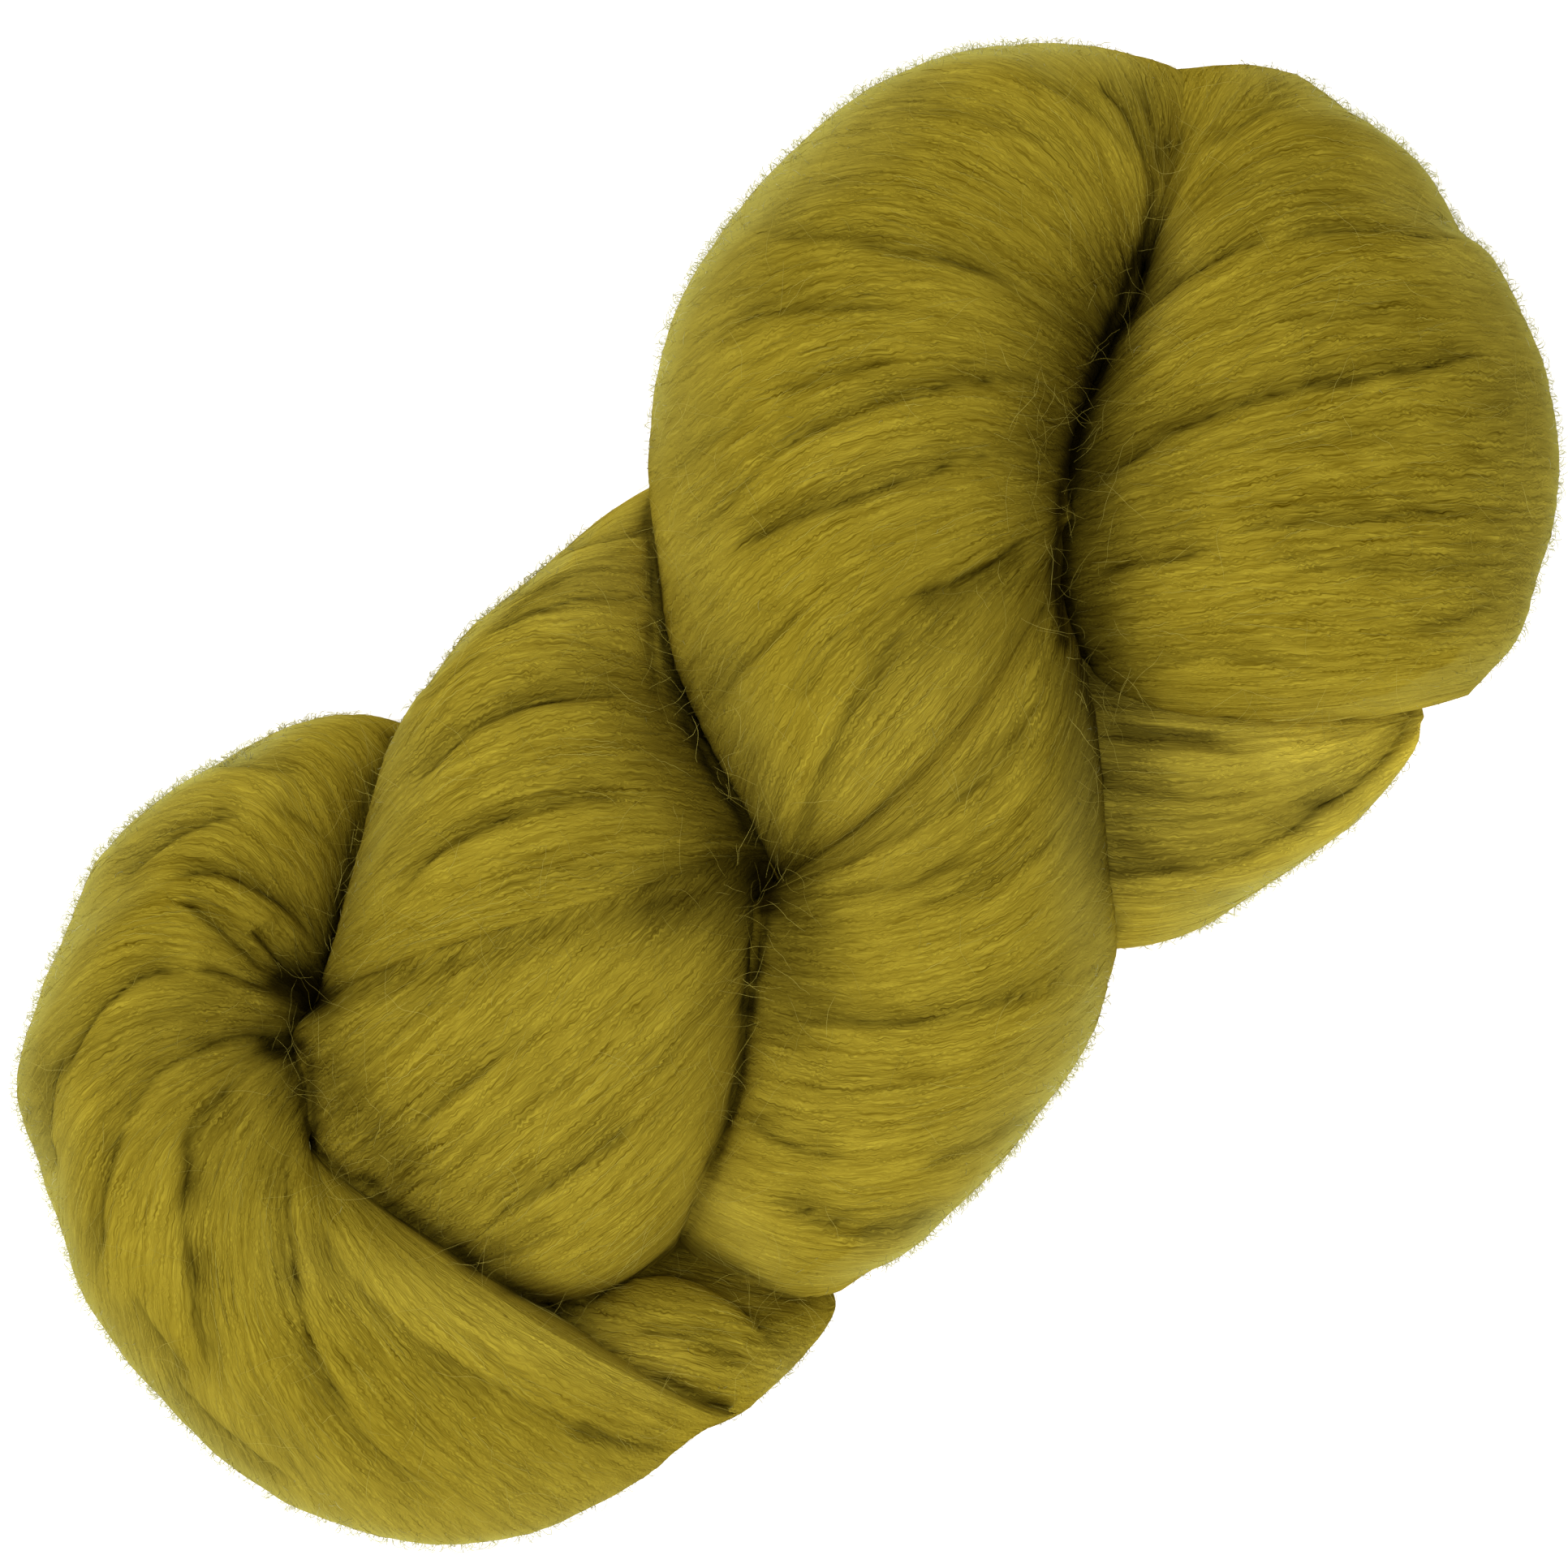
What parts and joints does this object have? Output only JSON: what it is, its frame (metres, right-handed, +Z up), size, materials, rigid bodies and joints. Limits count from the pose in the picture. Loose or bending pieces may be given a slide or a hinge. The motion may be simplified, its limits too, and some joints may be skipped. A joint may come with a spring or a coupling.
{
  "type": "wool roving hank",
  "caption": "Hank of combed wool roving, doubled and twisted on itself like a short thick rope, lying on its side with a flat underside.",
  "frame": {"origin": "middle of the footprint, on the surface that the hank lies on", "axes": "+Z up, away from that surface; +X along the hank, towards the end with the single wide loop; +Y across it"},
  "size_m": [0.348, 0.171, 0.1129],
  "materials": {
    "combed_wool": "matte, fibrous"
  },
  "bodies": {
    "root": {"wool_hank": "combed_wool"}
  },
  "joints": []
}
